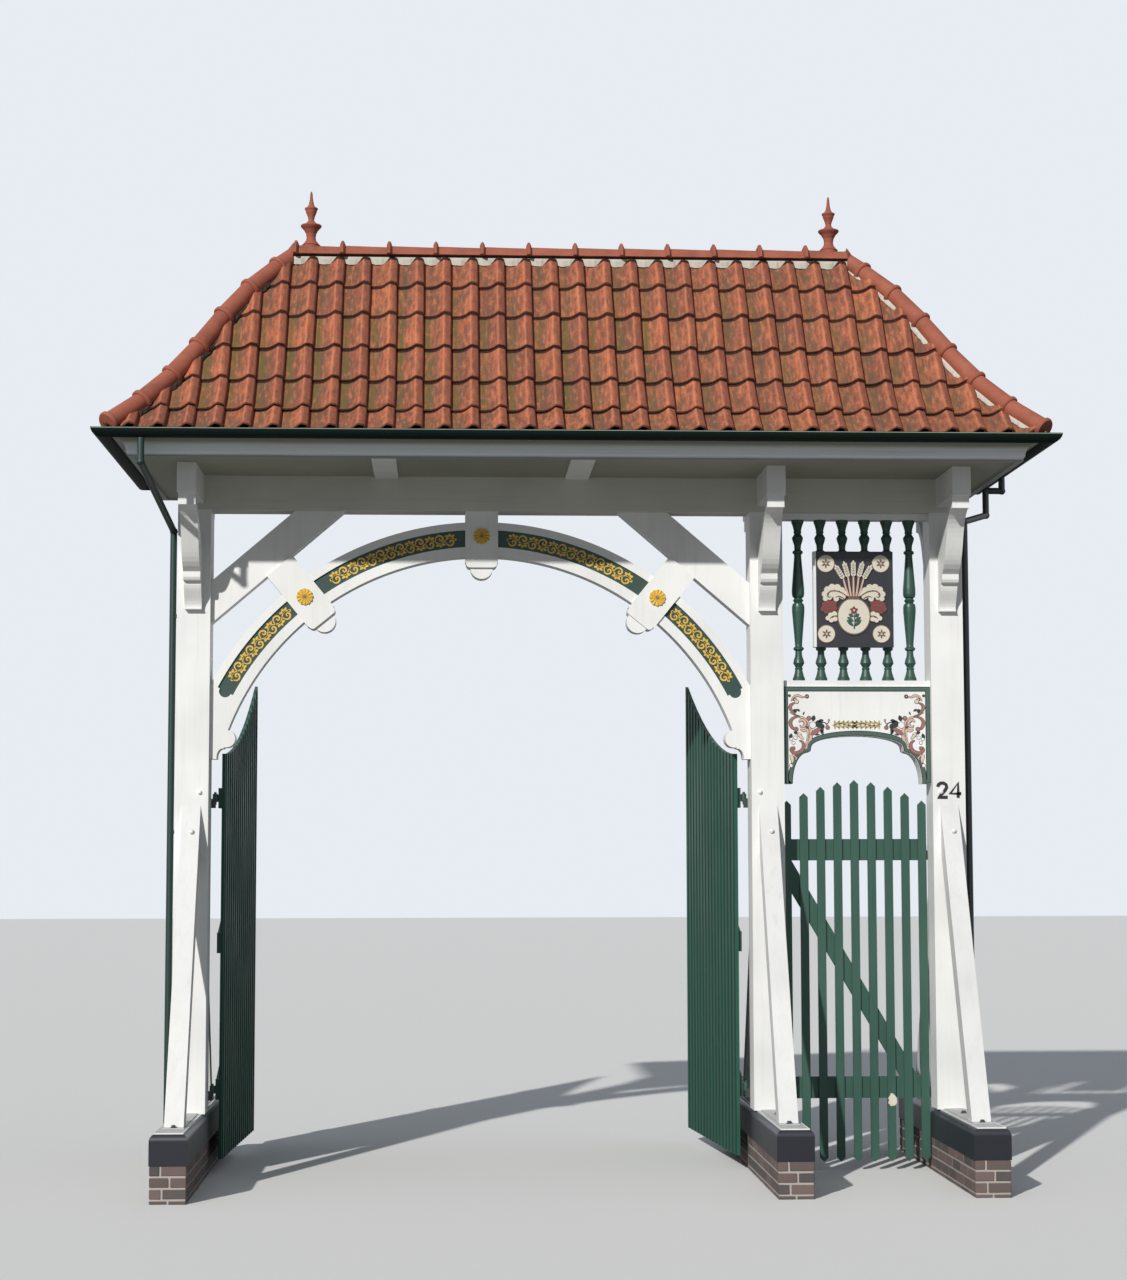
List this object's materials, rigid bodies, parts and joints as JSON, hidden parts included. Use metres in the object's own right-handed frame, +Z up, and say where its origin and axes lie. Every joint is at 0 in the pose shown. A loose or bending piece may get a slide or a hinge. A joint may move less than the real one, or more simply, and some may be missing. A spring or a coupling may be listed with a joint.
{
  "type": "roofed gateway",
  "caption": "Timber carriage gateway with a side wicket under a hipped pantile roof, on brick plinths with raking struts, arch boards and hinged leaves.",
  "frame": {"origin": "centre of the underside of the middle post's plinth, on the ground", "axes": "+X to the right along the gateway seen from the road, +Y into the yard, +Z up"},
  "size_m": [6.825, 3.5554, 7.3458],
  "materials": {
    "brick": "matt fired brick with mortar joints",
    "coping": "dark brown glaze",
    "white_paint": "white gloss paint",
    "eaves_paint": "pale blue-grey paint",
    "green_paint": "dark green paint",
    "leaf_green": "green paint on boards",
    "tile": "weathered orange clay",
    "gutter": "dark green paint",
    "pipe": "grey paint",
    "iron": "black paint",
    "gold": "gold paint",
    "baluster_paint": "pale green paint",
    "crest": "painted board",
    "plate": "pale grey paint"
  },
  "bodies": {
    "gateway": {"plinth_left": "brick", "plinth_middle": "brick", "plinth_right": "brick", "coping_left": "coping", "coping_middle": "coping", "coping_right": "coping", "post_left": "white_paint", "post_middle": "white_paint", "post_right": "white_paint", "front_struts": "white_paint", "rear_struts": "white_paint", "strut_shoes": "plate", "front_brackets": "white_paint", "rear_brackets": "white_paint", "cross_beams": "white_paint", "joists": "white_paint", "lintel": "white_paint", "soffit": "white_paint", "cornice": "eaves_paint", "gutters": "gutter", "downpipe_left": "gutter", "downpipe_right": "pipe", "roof": "tile", "ridge_tiles": "tile", "hip_tiles": "tile", "finials": "tile", "arch_ring": "white_paint", "arch_band": "green_paint", "arch_corbels": "white_paint", "knee_braces": "white_paint", "pendants": "white_paint", "rosettes": "gold", "wicket_rails": "white_paint", "wicket_panel": "white_paint", "balustrade": "baluster_paint", "crest_board": "crest", "pintles": "iron"},
    "left_leaf": {"left_leaf_boards": "leaf_green", "left_leaf_ledges": "leaf_green"},
    "right_leaf": {"right_leaf_boards": "leaf_green", "right_leaf_ledges": "leaf_green"},
    "wicket_gate": {"gate_pickets": "baluster_paint", "gate_frame": "baluster_paint"}
  },
  "joints": [
    {"name": "left_leaf_hinge", "type": "hinge", "parent": "gateway", "child": "left_leaf", "pos_m": [-4.1075, 0.1645, 1.7], "axis": [0, 0, 1], "range_deg": [-87.5, 2.5]},
    {"name": "right_leaf_hinge", "type": "hinge", "parent": "gateway", "child": "right_leaf", "pos_m": [-0.1475, 0.1645, 1.7], "axis": [0, 0, 1], "range_deg": [-5, 85]},
    {"name": "wicket_gate_hinge", "type": "hinge", "parent": "gateway", "child": "wicket_gate", "pos_m": [1.2145, 0.1645, 1.5], "axis": [0, 0, 1], "range_deg": [-90, 0]}
  ]
}
